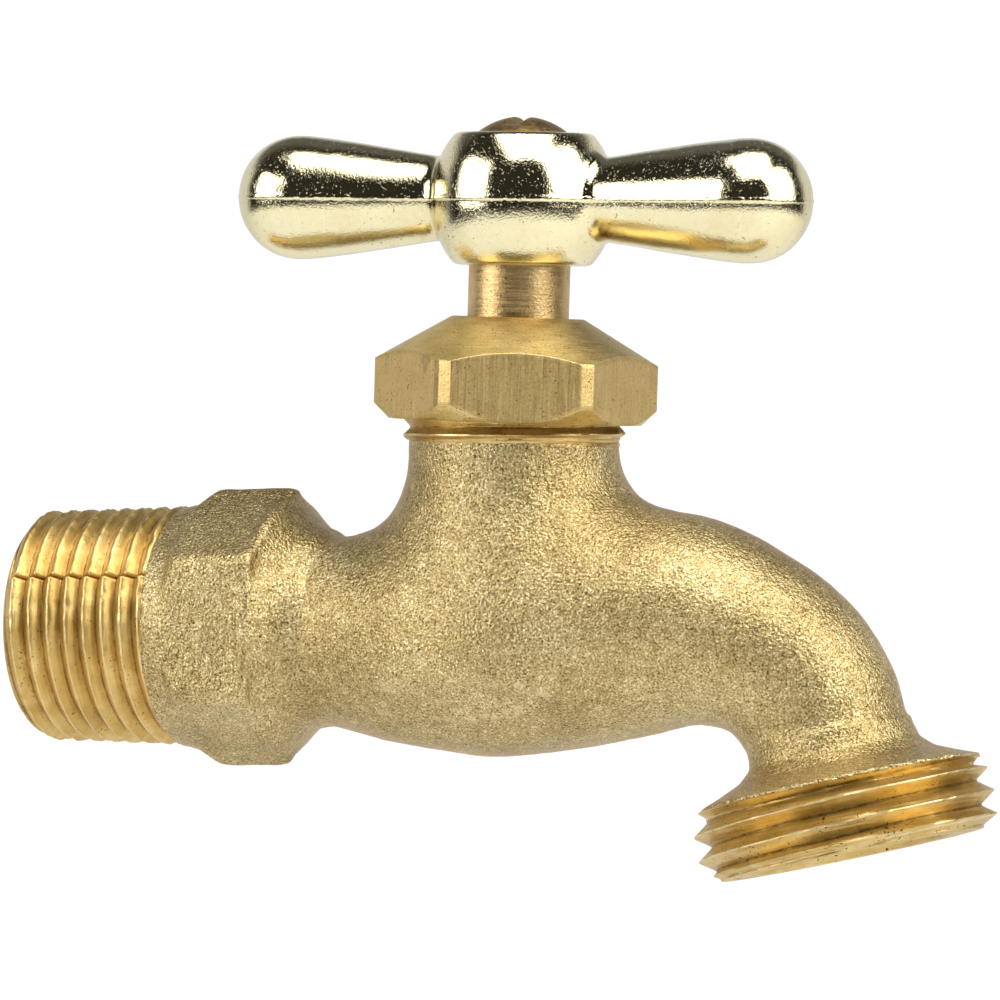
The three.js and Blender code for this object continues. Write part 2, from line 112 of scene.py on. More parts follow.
NUT = dict(bottom=18.4, cone_bottom=23.8, top=27.8, turn=-8.5, flats=22.7, corner=12.75, foot=11.4,
           crown=5.95, bevel=0.04, rounding=0.03)
NUT_CONE = [11.3, 10.6, 9.6, 8.6, 7.6, 6.6, 6.0]
NUT_INSIDE = [(5.1, 27.8), (4.9, 27.6), (4.9, 25.8), (7.4, 25.8), (7.4, 22.8), (10.4, 22.8), (10.4, 18.9),
              (10.8, 18.4)]

HUB = dict(middle=38.46, radius=8.2, height_radius=8.38, swell=2.2, half_height=5.97, rounding=0.35,
           cut_rounding=0.3, tilt=-1.1, shift=0.15)
ARM = dict(start=4.0, root_radius=3.3, end=21.78, end_radius=5.6, curve=0.35, blend=1.0)
PARTING_RIDGE = dict(height=0.1, width=0.13, unevenness=0.5, size=3.0, seed=11)
HANDLE_DENTS = dict(height=0.02, size=2.2, seed=12)
SCREW = dict(head=4.25, seat=43.7, shoulder=44.3, top=45.9)
SCREW_SHANK = dict(radius=1.9, bottom=36.0, top=44.0)
SCREW_BLEND = dict(rim=0.3, dome=0.15, shank=0.3, slot=0.1)
SLOT = dict(width=1.5, depth=0.9, turn=-90.0)
CLEARANCE = 0.3

# Elliptical sections of the cast tube: x from the stem axis, z, drop in degrees, half width, half height.
TUBE = [
    (-24, -0.3, 0, 8.7, 8.6), (-17.5, -0.5, 0, 8.9, 8.6), (-10.6, -1.0, 0, 10, 9.65),
    (-1.2, -1.15, 0, 11.2, 10.65), (8, -0.15, 4, 11.2, 10.85), (15.5, 0.2, 14, 10.4, 10.15),
    (21.75, -0.95, 31, 9.2, 8.75), (26.36, -3.25, 48, 8.4, 8.05), (29.33, -6.88, 63, 7.6, 7.6),
    (31.0, -10.6, 74, 7.05, 7.05), (31.9, -14.1, 77.3, 7.05, 7.05),
]
INLET_PASSAGE = [
    (-50, 0, 0, 7.5, 7.5), (-25.65, 0, 0, 7.5, 7.5), (-17.8, -0.9, 0, 7, 6.6), (-12.3, -3.2, 0, 6.4, 5),
    (-7.3, -5.5, 0, 6.2, 3.6), (0, -5.8, 0, 6, 3.3), (5.2, -5.8, 0, 5, 3.1),
]
OUTLET_PASSAGE = [
    (1.5, 4.4, 0, 3.9, 3.9), (8, 4.4, 5, 4.4, 4.4), (15, 2.6, 20, 5.2, 5.2), (21.5, -0.8, 38, 5.6, 5.6),
    (26.3, -5, 56, 5.7, 5.7), (29.4, -9.8, 71, 5.8, 5.8), (30.9, -14, 77.3, 6.4, 6.4),
]

# How softly the casting's parts run into each other, and the waves in its skin: (height, size, seed).
CAST_BLEND = dict(neck=6.7, hexagon=1.1, flange=1.2, cuts=0.3)
TUBE_TRIM = 0.05
RIPPLES = [(0.06, 5.0, 1), (0.035, 1.9, 2), (0.022, 0.8, 3)]


# ------ local frames

def placement(turn, x=0.0, z=0.0):
    """A frame turned about Y by an angle in degrees and moved in the XZ plane."""
    return Matrix.Translation((x, 0, z)) @ Matrix.Rotation(math.radians(turn), 4, "Y")


AT_INLET = placement(90)
AT_BONNET = placement(LEAN, STEM_X)
AT_OUTLET = placement(-OUTLET["tilt"], OUTLET["x"], OUTLET["z"])
HUB_ON_STEM = placement(HUB["tilt"], HUB["shift"], HUB["middle"])
AT_HUB = AT_BONNET @ HUB_ON_STEM


def carried(matrix, x, z):
    """Points of the XZ plane carried by a placement."""
    m = np.array(matrix)
    return m[0][0] * x + m[0][2] * z + m[0][3], m[2][0] * x + m[2][2] * z + m[2][3]


def round_axis(placed, x, y, z, shift=0.0):
    """Radius and height round a local frame's axis, moved along X by a shift, of points in the CAD frame."""
    local_x, local_z = carried(placed.inverted(), x, z)
    return np.sqrt((local_x - shift) ** 2 + y * y), local_z


# ------ noise

# Turns the lattice so that none of its planes lines up with the part.
LATTICE_TURN = ((0.8, 0.36, 0.48), (-0.6, 0.48, 0.64), (0.0, -0.8, 0.6))


def lattice(ix, iy, iz, seed):
    """A fixed value from 0 to 1 for each lattice point."""
    h = (ix * 374761393 + iy * 668265263 + iz * 2147483647 + seed * 974634777) & 0xFFFFFFFF
    h = ((h ^ (h >> 13)) * 1274126177) & 0xFFFFFFFF
    return ((h ^ (h >> 16)) & 0xFFFF) / 65535.0


def noise(x, y, z, size, seed):
    """Smooth noise from -1 to 1 with features of about the given size."""
    x, y, z = ((a * x + b * y + c * z) / size for a, b, c in LATTICE_TURN)
    ix, iy, iz = (np.floor(v).astype(np.int64) for v in (x, y, z))
    fx, fy, fz = x - ix, y - iy, z - iz
    fx, fy, fz = (v * v * v * (v * (6 * v - 15) + 10) for v in (fx, fy, fz))
    total = 0.0
    for dx in (0, 1):
        for dy in (0, 1):
            for dz in (0, 1):
                weight = (fx if dx else 1 - fx) * (fy if dy else 1 - fy) * (fz if dz else 1 - fz)
                total = total + weight * lattice(ix + dx, iy + dy, iz + dz, seed)
    return 2 * total - 1


def bell(offset, width):
    """1 at no offset, next to nothing from about two widths on."""
    return np.exp(-((offset / width) ** 2))


# ------ solids as distance fields

def smooth_min(a, b, k):
    h = np.maximum(k - np.abs(a - b), 0.0) / k
    return np.minimum(a, b) - h * h * k * 0.25


def smooth_max(a, b, k):
    return -smooth_min(-a, -b, k)


def ellipse(u, v, half_u, half_v):
    """Approximate distance to an ellipse."""
    k0 = np.sqrt((u / half_u) ** 2 + (v / half_v) ** 2)
    k1 = np.sqrt((u / half_u**2) ** 2 + (v / half_v**2) ** 2) + 1e-9
    return k0 * (k0 - 1) / k1


def catmull_rom(rows, steps):
    """Points of a smooth curve through the rows."""
    rows = np.array(rows, float)
    padded = np.vstack([2 * rows[0] - rows[1], rows, 2 * rows[-1] - rows[-2]])
    out = []
    for i in range(len(rows) - 1):
        a, b, c, d = padded[i:i + 4]
        for t in np.arange(steps) / steps:
            out.append(0.5 * (2 * b + (c - a) * t + (2 * a - 5 * b + 4 * c - d) * t**2
                              + (3 * b - a - 3 * c + d) * t**3))
    out.append(rows[-1])
    return np.array(out)


class Tube:
    """A solid swept through elliptical sections whose middles lie in the XZ plane."""

    STEPS = 16        # curve points for each section
    END = 8           # curve points that the flat cap at each end reaches
    FAR = 9.0         # depth below a cap that isn't in reach
    BATCH = 20000     # points searched at a time

    def __init__(self, sections):
        curve = catmull_rom(sections, self.STEPS)
        self.x = curve[:, 0] + STEM_X
        self.z = curve[:, 1]
        drop = np.radians(curve[:, 2])
        self.tx, self.tz = np.cos(drop), -np.sin(drop)
        self.wide, self.high = curve[:, 3], curve[:, 4]
        run = np.hypot(np.diff(self.x), np.diff(self.z))
        self.run = np.append(run, run[-1])

    def nearest(self, px, pz):
        """The curve's nearest point to each of the given ones."""
        found = np.empty(len(px), np.int64)
        for a in range(0, len(px), self.BATCH):
            b = a + self.BATCH
            gap = (px[a:b, None] - self.x) ** 2 + (pz[a:b, None] - self.z) ** 2
            found[a:b] = gap.argmin(1)
        return found

    def __call__(self, x, y, z):
        x2, z2 = np.broadcast_arrays(x, z)
        shape = x2.shape
        px, pz = x2.ravel(), z2.ravel()
        nearest = self.nearest(px, pz)
        along = (px - self.x[nearest]) * self.tx[nearest] + (pz - self.z[nearest]) * self.tz[nearest]
        last = len(self.x) - 1
        t = np.clip(nearest + along / self.run[nearest], 0, last)
        i = np.minimum(t.astype(np.int64), last - 1)
        f = t - i

        def at(values):
            return values[i] * (1 - f) + values[i + 1] * f

        cx, cz, tx, tz = at(self.x), at(self.z), at(self.tx), at(self.tz)
        up = (px - cx) * -tz + (pz - cz) * tx
        before = (px - self.x[0]) * -self.tx[0] + (pz - self.z[0]) * -self.tz[0]
        beyond = (px - self.x[-1]) * self.tx[-1] + (pz - self.z[-1]) * self.tz[-1]
        near_start, near_end = nearest < self.END, nearest > last - self.END
        cap = np.maximum(np.where(near_start, before, -self.FAR), np.where(near_end, beyond, -self.FAR))
        up, cap, high, wide = (v.reshape(shape) for v in (up, cap, at(self.high), at(self.wide)))
        return np.maximum(ellipse(up, y, high, wide), cap)


def revolved(profile, radius, height, bottom, top):
    """A solid of revolution: radius limits from (radius, height) points, between two heights."""
    limit = np.interp(height, [h for _, h in profile], [r for r, _ in profile])
    return np.maximum(np.maximum(radius - limit, bottom - height), height - top)


def cylinder(size, radius, height):
    """A cylinder from a dict with its radius, bottom and top."""
    return np.maximum(radius - size["radius"], np.maximum(size["bottom"] - height, height - size["top"]))


# ------ meshing

CORNERS = np.array([(a, b, c) for a in (0, 1) for b in (0, 1) for c in (0, 1)])
EDGES = [(a, b) for a in range(8) for b in range(a + 1, 8) if np.abs(CORNERS[a] - CORNERS[b]).sum() == 1]
AROUND_EDGE = ((-1, -1), (0, -1), (0, 0), (-1, 0))
SURFACE_STEPS = 2
PROBE = 0.02          # half the distance over which a gradient is measured


def cell_points(values, cells):
    """A point in each cell: the mean of where the cell's edges cross the surface, in grid steps."""
    at_corner = np.stack([values[tuple((cells + corner).T)] for corner in CORNERS], 1)
    total = np.zeros((len(cells), 3))
    hits = np.zeros(len(cells))
    for a, b in EDGES:
        va, vb = at_corner[:, a], at_corner[:, b]
        crossing = (va < 0) != (vb < 0)
        t = np.where(crossing, va / np.where(crossing, va - vb, 1), 0)
        total += np.where(crossing[:, None], CORNERS[a] + t[:, None] * (CORNERS[b] - CORNERS[a]), 0)
        hits += crossing
    return cells + total / hits[:, None]


def cell_quads(inside, index):
    """A face for each grid edge that crosses the surface, through the four cells round the edge."""
    quads = []
    for axis in range(3):
        u, v = (axis + 1) % 3, (axis + 2) % 3
        low_side = np.take(inside, range(inside.shape[axis] - 1), axis)
        high_side = np.take(inside, range(1, inside.shape[axis]), axis)
        edges = np.argwhere(low_side != high_side)
        edges = edges[(edges[:, u] > 0) & (edges[:, v] > 0)]
        edges = edges[(edges[:, u] < inside.shape[u] - 1) & (edges[:, v] < inside.shape[v] - 1)]
        ring = []
        for du, dv in AROUND_EDGE:
            cell = edges.copy()
            cell[:, u] += du
            cell[:, v] += dv
            ring.append(index[tuple(cell.T)])
        quad = np.stack(ring, 1)
        leaving = low_side[tuple(edges.T)]
        quads.append(np.where(leaving[:, None], quad, quad[:, ::-1]))
    return np.concatenate(quads)


def moved_onto(field, points, step):
    """The points moved along the field's gradient onto its zero surface, by half a grid step at most."""
    for _ in range(SURFACE_STEPS):
        gradient = np.stack([
            field(*(points + PROBE * axis).T) - field(*(points - PROBE * axis).T) for axis in np.eye(3)
        ], 1) / (2 * PROBE)
        size = (gradient**2).sum(1) + 1e-6
        move = (field(*points.T) / size)[:, None] * gradient
        length = np.linalg.norm(move, axis=1, keepdims=True) + 1e-9
        points = points - move * np.minimum(1, 0.5 * step / length)
    return points


def mesh_field(field, low, high, step):
    """Points and faces of a field's zero surface inside a box, by naive surface nets."""
    axes = [np.arange(a, b + step, step) for a, b in zip(low, high)]
    gx, gy, gz = axes[0][:, None, None], axes[1][None, :, None], axes[2][None, None, :]
    values = np.broadcast_to(field(gx, gy, gz), [len(a) for a in axes]).astype(np.float32)
    inside = values < 0
    nx, ny, nz = (n - 1 for n in inside.shape)
    count = sum(inside[a:a + nx, b:b + ny, c:c + nz].astype(np.int8) for a, b, c in CORNERS)
    cells = np.argwhere((count > 0) & (count < len(CORNERS)))
    index = np.full(count.shape, -1, np.int32)
    index[tuple(cells.T)] = np.arange(len(cells))
    points = cell_points(values, cells) * step + np.array([a[0] for a in axes])
    return moved_onto(field, points, step), cell_quads(inside, index).tolist()


def link(obj):
    bpy.context.scene.collection.objects.link(obj)


def mesh_object(name, points, faces, matrix=None, sharp=None):
    """A mesh object in metres from points in millimetres; edges over the angle sharp aren't smoothed."""
    mesh = bpy.data.meshes.new(name)
    mesh.from_pydata((np.asarray(points) * MM).tolist(), [], faces)
    if matrix is not None:
        scaled = matrix.copy()
        scaled.translation *= MM
        mesh.transform(scaled)
    mesh.validate()
    mesh.shade_smooth()
    if sharp is not None:
        mesh.set_sharp_from_angle(angle=math.radians(sharp))
    obj = bpy.data.objects.new(name, mesh)
    link(obj)
    return obj


# ------ casting

cast_tube = Tube(TUBE)
inlet_passage = Tube(INLET_PASSAGE)
outlet_passage = Tube(OUTLET_PASSAGE)


def hex_field(x, y, z):
    """Wrench hexagon with rounded edges and its fillet towards the tube."""
    z = z + HEX["low"]
    slanted = np.clip((x - HEX["slant_start"]) / HEX["slant_reach"], 0, 1)
    x = x - slanted * (HEX["slant"] * z - HEX["slant_shift"])
    radius = np.sqrt(y * y + z * z)
    prism = np.abs(y)
    for across in (0.5 * y + SIN_60 * z, 0.5 * y - SIN_60 * z):
        prism = smooth_max(prism, np.abs(across), HEX["edge_blend"])
    envelope = revolved(HEX_ENVELOPE, radius, x, HEX["start"], HEX["end"])
    block = smooth_max(prism - HEX["flats"] / 2, envelope, HEX["end_blend"])
    fillet = revolved(HEX_FILLET, radius, x, HEX_FILLET_START, HEX_FILLET[-1][1])
    return smooth_min(block, fillet, HEX["fillet_blend"])


def casting_outside(x, y, z):
    neck = cylinder(NECK, *round_axis(AT_BONNET, x, y, z))
    body = smooth_min(cast_tube(x, y, z) + TUBE_TRIM, neck, CAST_BLEND["neck"])
    body = smooth_min(body, hex_field(x, y, z), CAST_BLEND["hexagon"])
    radius, height = round_axis(AT_OUTLET, x, y, z, FLANGE_SHIFT)
    flange = revolved(OUTLET_FLANGE, radius, height, OUTLET["top"], OUTLET_FLANGE[-1][1])
    body = smooth_min(body, flange, CAST_BLEND["flange"])
    return body + sum(height * noise(x, y, z, size, seed) for height, size, seed in RIPPLES)


def thread_groove(x, y, z):
    """The stem's thread, cut a little wider inside the neck."""
    local_x, height = carried(AT_BONNET.inverted(), x, z)
    radius = np.sqrt(local_x * local_x + y * y)
    groove, lead = THREAD_GROOVE, STEM_THREAD["lead"]
    climb = height - lead * np.arctan2(y, local_x) / TURN
    off_crest = np.abs(climb - lead * np.round(climb / lead))
    flank = off_crest - groove["half_width"] + (radius - groove["foot"]) * groove["flank"]
    return np.maximum(cylinder(groove, radius, height), flank * groove["steepness"])


def casting_inside(x, y, z):
    """The waterway, the seat and the bores for the stem."""
    radius, height = round_axis(AT_BONNET, x, y, z)
    chamber = revolved(CHAMBER, radius, height, CHAMBER[0][1], CHAMBER[-1][1])
    chamber = np.maximum(chamber, -np.maximum(radius - SEAT_RADIUS, height))
    spaces = [cylinder(size, radius, height) for size in (PORT, THREAD_BORE, COUNTERBORE)]
    spaces += [chamber, thread_groove(x, y, z), inlet_passage(x, y, z), outlet_passage(x, y, z)]
    water = revolved(SOCKET, *round_axis(AT_OUTLET, x, y, z), SOCKET_BOTTOM, SOCKET[-1][1])
    for space in spaces:
        water = np.minimum(water, space)
    return water


def casting(x, y, z):
    return smooth_max(casting_outside(x, y, z), -casting_inside(x, y, z), CAST_BLEND["cuts"])


CASTING_BOX = ((13.6, -14, -18), (92, 14, 18.6))
valve_casting = mesh_object("valve_casting", *mesh_field(casting, *CASTING_BOX, fineness(0.32)))


# ------ turned and threaded pieces

TURNED_SHARP = 30       # degrees


def columns(count, extra=()):
    """Angles round a turned piece in radians, with extra ones where an edge needs them."""
    angles = np.concatenate([np.arange(count) * TURN / count, np.radians(extra) % TURN])
    return np.unique(np.round(angles, 5))


def wrapped(angle):
    """An angle brought into -pi to pi."""
    return (angle + math.pi) % TURN - math.pi


def turned(name, angles, rings, matrix):
    """A ring-shaped piece from rings of (radius, height), each a number or one value for every angle."""
    count = len(angles)
    points, faces = [], []
    for radius, height in rings:
        points.extend(zip(radius * np.cos(angles), radius * np.sin(angles), np.broadcast_to(height, count)))
    for ring in range(len(rings)):
        a, b = ring * count, (ring + 1) % len(rings) * count
        for c in range(count):
            d = (c + 1) % count
            faces.append([a + c, a + d, b + d, b + c])
    return mesh_object(name, points, faces, matrix, TURNED_SHARP)


def threaded(name, angles, shape, pitch, phase, span, radius_at, after, matrix, sharp, drift=None):
    """A right-hand thread whose rows of points follow the helix, closed by plain rings.

    shape: the fractions of the pitch, from crest to crest, that get a row of points; radius_at: the radius
    at (fraction, angle, height); drift: a shift along the axis at (angle); after: the (radius, height)
    rings that lead from the top of the thread, inside it, to its bottom.
    """
    bottom, top = span
    count, per_turn = len(angles), len(shape)
    starts = [phase + (drift(angle) if drift else 0.0) for angle in angles]
    first = math.floor((bottom - phase) / pitch) - 2
    last = math.ceil((top - phase) / pitch) + 2
    rows = (last - first) * per_turn
    points, depths, faces, ids = [], [], [], {}

    def add_point(key, fraction, angle, height):
        radius = radius_at(fraction, angle, height)
        ids[key] = len(points)
        points.append((radius * math.cos(angle), radius * math.sin(angle), height))

    def add_face(*keys):
        """Adds a face, without the corners that fall together at an end of the thread."""
        face = [ids[key] for key in keys]
        face = [v for k, v in enumerate(face) if v != face[k - 1]]
        if len(face) > 2:
            faces.append(face)

    past_end = {}
    for c, angle in enumerate(angles):
        for row in range(rows):
            turn, k = divmod(row, per_turn)
            height = starts[c] + pitch * (first + turn + shape[k] + angle / TURN)
            if bottom < height < top:
                add_point((row, c), shape[k], angle, height)
                depths.append(2 * min(shape[k], 1 - shape[k]))
            else:
                past_end[row, c] = ("bottom" if height <= bottom else "top", c)
    for end, height in (("bottom", bottom), ("top", top)):
        for c, angle in enumerate(angles):
            add_point((end, c), ((height - starts[c]) / pitch - angle / TURN) % 1, angle, height)
    ids.update((key, ids[end]) for key, end in past_end.items())

    for c in range(count):
        shift = per_turn if c == count - 1 else 0
        d = (c + 1) % count
        for row in range(rows - 1 - shift):
            add_face((row, c), (row + shift, d), (row + 1 + shift, d), (row + 1, c))

    for number, (radius, height) in enumerate(after):
        at_apex = np.ndim(radius) == 0 and radius == 0
        for c in range(count):
            ids["ring", number, c] = len(points) + (0 if at_apex else c)
        ring_points = zip(radius * np.cos(angles), radius * np.sin(angles), [height] * count)
        points.extend([(0, 0, height)] if at_apex else ring_points)
    names = [("top",)] + [("ring", number) for number in range(len(after))] + [("bottom",)]
    for a, b in zip(names, names[1:]):
        for c in range(count):
            d = (c + 1) % count
            add_face((*a, c), (*a, d), (*b, d), (*b, c))

    obj = mesh_object(name, points, faces, matrix, sharp)
    depths += [0.5] * (len(points) - len(depths))
    obj.data.attributes.new("thread_depth", "FLOAT", "POINT").data.foreach_set("value", depths)
    return obj


V_FLANK = [0.025, 0.05, 0.1, 0.17, 0.25, 0.33, 0.4, 0.45]
V_ROWS = [0, *V_FLANK, 0.5, *(1 - fraction for fraction in reversed(V_FLANK))]
ROOT_ROUND = 0.12
THREAD_SHARP = 50       # degrees

# Wear of the thread crests: noise round a circle of the given radius.
INLET_WEAR = dict(radius=10, size=0.9, seed=5, threshold=0.25, depth=0.22, fine=0.45)
OUTLET_WEAR = dict(radius=13, size=1.1, seed=7, threshold=0.3, depth=0.35, fine=0.5)
NECK_WEAR = dict(radius=10, size=1.0, seed=9, threshold=0.2, depth=0.4)
UNEVENNESS = 0.05


def v_thread(fraction, crest_flat, root_round=ROOT_ROUND):
    """Depth from 0 at the crest to 1 at the root of a V thread."""
    off = 2 * abs(fraction - round(fraction))
    depth = min(max((off - crest_flat) / (1 - crest_flat), 0), 1)
    low = 1 - root_round
    return depth if depth < low else low + (depth - low) * (1 - 0.5 * (depth - low) / root_round)


def crest_wear(angle, height, radius, size, seed, threshold, depth, fine=None):
    """Metal missing from a crest: nicks where noise passes a threshold, and a fine unevenness."""
    x, y = radius * math.cos(angle), radius * math.sin(angle)
    missing = max(0.0, float(noise(x, y, height, size, seed)) - threshold) * depth
    if fine:
        missing += UNEVENNESS * float(noise(x, y, height, fine, seed + 1))
    return missing


def inlet_radius(fraction, angle, height):
    depth = v_thread(fraction, INLET["crest_flat"]) ** INLET["sharpness"]
    nick = crest_wear(angle, height, **INLET_WEAR)
    radius = INLET["end_radius"] + INLET["taper"] * height - INLET["depth"] * depth - nick * (1 - depth) ** 2
    from_seam = wrapped(angle - math.radians(SEAM["angle"])) * SEAM["radius"]
    radius -= SEAM["groove"] * bell(from_seam, SEAM["groove_width"]) * (2 - depth)
    lip = SEAM["lip"] * bell(abs(from_seam) - SEAM["lip_offset"], SEAM["lip_width"]) * (1 - depth)
    radius += lip if from_seam > 0 else lip * SEAM["far_lip"]
    return min(radius, INLET["end_radius"] - INLET["lead_in"] + INLET["lead_slope"] * height)


def inlet_drift(angle):
    """How far the thread has slipped along the axis: the two mould halves didn't quite meet."""
    return SEAM["slip"] * (((angle - math.radians(SEAM["angle"])) / TURN) % 1 - 0.5)


seam_columns = [SEAM["angle"] + side * d for d in (0, 0.3, 0.6, 1.0, 1.6, 2.4) for side in (-1, 1)]
inlet_thread = threaded(
    "inlet_thread", columns(fineness(240), seam_columns), V_ROWS, INLET["pitch"], 0.0,
    (0.0, INLET["top"]), inlet_radius, INLET_BACK, AT_INLET, sharp=THREAD_SHARP, drift=inlet_drift,
)


def outlet_end(height):
    """Radius limit at the mouth: a rounded lip with a turned groove, then the thread's lead-in."""
    lip = OUTLET_LIP
    limit = lip["radius"] + lip["rounding"] * min(height / lip["rounded_over"], 1)
    limit += max(0, height - lip["chamfer_start"]) * lip["chamfer_slope"]
    return limit - lip["groove"] * bell(height - lip["groove_at"], lip["groove_width"])


def outlet_radius(fraction, angle, height):
    depth = v_thread(fraction, OUTLET["crest_flat"])
    nick = crest_wear(angle, height, **OUTLET_WEAR)
    radius = OUTLET["crest"] - (OUTLET["crest"] - OUTLET["root"]) * depth - nick * (1 - depth) ** 2
    radius = min(radius, outlet_end(height))
    run_out = OUTLET_RUN_OUT
    if height > run_out["start"]:
        fade = min(1, (height - run_out["start"]) / run_out["length"])
        radius = radius * (1 - fade) + min(radius, run_out["radius"]) * fade
        rise = max(0, height - run_out["rise_start"]) * run_out["rise_slope"]
        radius = max(radius, OUTLET["root"] + rise)
    return radius


outlet_thread = threaded(
    "outlet_thread", columns(fineness(280)), V_ROWS, OUTLET["pitch"], OUTLET["phase"],
    (0.0, OUTLET["top"]), outlet_radius, OUTLET_BACK, AT_OUTLET, sharp=THREAD_SHARP,
)


def neck_radius(fraction, angle, height):
    """Radius of the nut's thread on the neck, which fades out unevenly above the cast skin."""
    neck = NECK_THREAD
    depth = v_thread(fraction, neck["crest_flat"], neck["root_round"])
    nick = crest_wear(angle, height, **NECK_WEAR)
    radius = neck["crest"] - (neck["crest"] - neck["core"] + neck["undercut"]) * depth - nick * (1 - depth)
    begin = neck["begin"] + neck["begin_rise"] * (0.5 + 0.5 * math.cos(angle))
    fade = neck["begin_height"] + neck["begin_slope"] * max(0, height - begin)
    radius = min(radius, neck["core"] + fade)
    if height > neck["chamfer_start"]:
        radius = min(radius, neck["core"] + neck["top"] - height)
    return radius


neck_thread = threaded(
    "neck_thread", columns(fineness(200)), V_ROWS, NECK_THREAD["pitch"], NECK_THREAD["phase"],
    (NECK_THREAD["bottom"], NECK_THREAD["top"]), neck_radius, NECK_BACK, AT_BONNET, sharp=THREAD_SHARP,
)


# ------ packing nut

def packing_nut_piece():
    """Hexagon with chamfered corners below a long cone; the rings follow the edges between them."""
    half, corner, foot, bottom = NUT["flats"] / 2, NUT["corner"], NUT["foot"], NUT["bottom"]
    edge = math.degrees(math.acos(half / corner))
    extra = [
        NUT["turn"] + 60 * k + side * (edge + d)
        for k in range(6) for side in (-1, 1) for d in (-0.6, -0.2, 0.2, 0.6)
    ]
    angles = columns(fineness(240), extra)
    off = wrapped(angles * 6 - math.radians(NUT["turn"]) * 6) / 6
    outer = np.minimum(half / np.cos(off), corner)
    slope = (NUT["top"] - NUT["cone_bottom"]) / (corner - NUT["crown"])

    def on_cone(radius):
        return NUT["cone_bottom"] + (corner - radius) * slope

    chamfer = bottom + np.maximum(0, outer - foot)
    cone = on_cone(outer)
    low = np.minimum(outer, foot)
    bevel, rounding = NUT["bevel"], NUT["rounding"]
    base = bottom + rounding
    rings = [(low - 4 * rounding, bottom), (low, base)]
    rings += [(low + (outer - low) * t, base + (chamfer - base) * t) for t in (0.5, 0.95)]
    rings.append((outer, chamfer + 2 * rounding))
    rings += [(outer, chamfer + (cone - chamfer) * t) for t in (0.1, 0.2, 0.35, 0.5, 0.65, 0.8, 0.9)]
    rings += [(outer, cone - 0.05), (outer - bevel, cone + bevel * slope)]
    rings += [(radius, on_cone(radius)) for radius in NUT_CONE]
    rings.append((NUT["crown"] - 0.1, NUT["top"]))
    return turned("packing_nut_piece", angles, rings + NUT_INSIDE, AT_BONNET)


packing_nut = packing_nut_piece()


# ------ stem

def stem_radius(fraction, angle, height):
    """Radius of the lifting thread, which fades out at both ends."""
    size = STEM_THREAD
    off = abs(fraction - round(fraction)) * size["lead"]
    ridge = min(max((size["half_foot"] - off) / size["flank"], 0), 1)
    from_end = min(height - size["bottom"], size["top"] - height)
    return size["core"] + (size["crest"] - size["core"]) * ridge * min(1, max(0, from_end / size["fade"]))


def stem_piece():
    """Washer cup, lifting thread, smooth shank and square tang, from one run of rings."""
    angles = columns(fineness(144), [45, 135, 225, 315])
    off = wrapped(angles * 4) / 4
    square = np.minimum(TANG["across"] / 2 / np.cos(off), SHANK - 0.05)
    shank = [(SHANK + 0.1, 14.6)] + [(SHANK, height) for height in SHANK_HEIGHTS]
    tang = [(square, height) for height in TANG_HEIGHTS]
    tang.append((square - TANG["chamfer"], TANG["top"]))
    span = (STEM_THREAD["bottom"], STEM_THREAD["top"])
    return threaded("stem_piece", angles, STEM_ROWS, STEM_THREAD["lead"], 0.0, span, stem_radius,
                    shank + tang + TANG_HOLE + STEM_CUP, AT_BONNET, TURNED_SHARP)


stem = stem_piece()


# ------ handle and its screw

def hub_field(x, y, z):
    """A ball with full shoulders, cut off above and below."""
    swell = HUB["swell"]
    barrel = (np.sqrt(x * x + y * y) / HUB["radius"]) ** swell + (np.abs(z) / HUB["height_radius"]) ** swell
    barrel = HUB["radius"] * (barrel ** (1 / swell) - 1)
    return smooth_max(barrel, np.abs(z) - HUB["half_height"], HUB["rounding"])


def arm_field(x, y, z):
    """Both arms: they swell from the root to a round end."""
    reach = ARM["end"] - ARM["start"]
    growth = (ARM["end_radius"] - ARM["root_radius"]) / reach
    steep = math.sqrt(1 - growth * growth)
    across = np.sqrt(y * y + z * z)
    along = np.abs(x) - ARM["start"]
    t = np.clip((along + across * growth / steep) / reach, 0, 1)
    t = t * t * (3 - 2 * t) * ARM["curve"] + t * (1 - ARM["curve"])
    radius = ARM["root_radius"] + (ARM["end_radius"] - ARM["root_radius"]) * t
    over = np.maximum(along - reach, 0)
    return np.where(over > 0, np.sqrt(across**2 + over**2) - ARM["end_radius"], across - radius)


def handle_field(x, y, z):
    """Hub and arms with the fine ridge where the die parted."""
    solid = smooth_min(hub_field(x, y, z), arm_field(x, y, z), ARM["blend"])
    ridge, dents = PARTING_RIDGE, HANDLE_DENTS
    uneven = 1 + ridge["unevenness"] * noise(x, y, 0.0, ridge["size"], ridge["seed"])
    solid = solid - ridge["height"] * bell(z, ridge["width"]) * uneven
    return solid + dents["height"] * noise(x, y, z, dents["size"], dents["seed"])


def handle_solid(x, y, z):
    """The handle less its square socket, screw hole and head seat, which follow the stem's axis."""
    stem_x, stem_z = carried(HUB_ON_STEM, x, z)
    half = TANG["across"] / 2 + CLEARANCE
    radius = np.sqrt(stem_x * stem_x + y * y)
    socket = np.maximum(np.maximum(np.abs(stem_x), np.abs(y)) - half, stem_z - TANG["top"] - CLEARANCE)
    hole = radius - SCREW_SHANK["radius"] - CLEARANCE
    seat = np.maximum(radius - SCREW["head"] - CLEARANCE, SCREW["seat"] - CLEARANCE - stem_z)
    space = np.minimum(np.minimum(socket, hole), seat)
    return smooth_max(handle_field(x, y, z), -space, HUB["cut_rounding"])


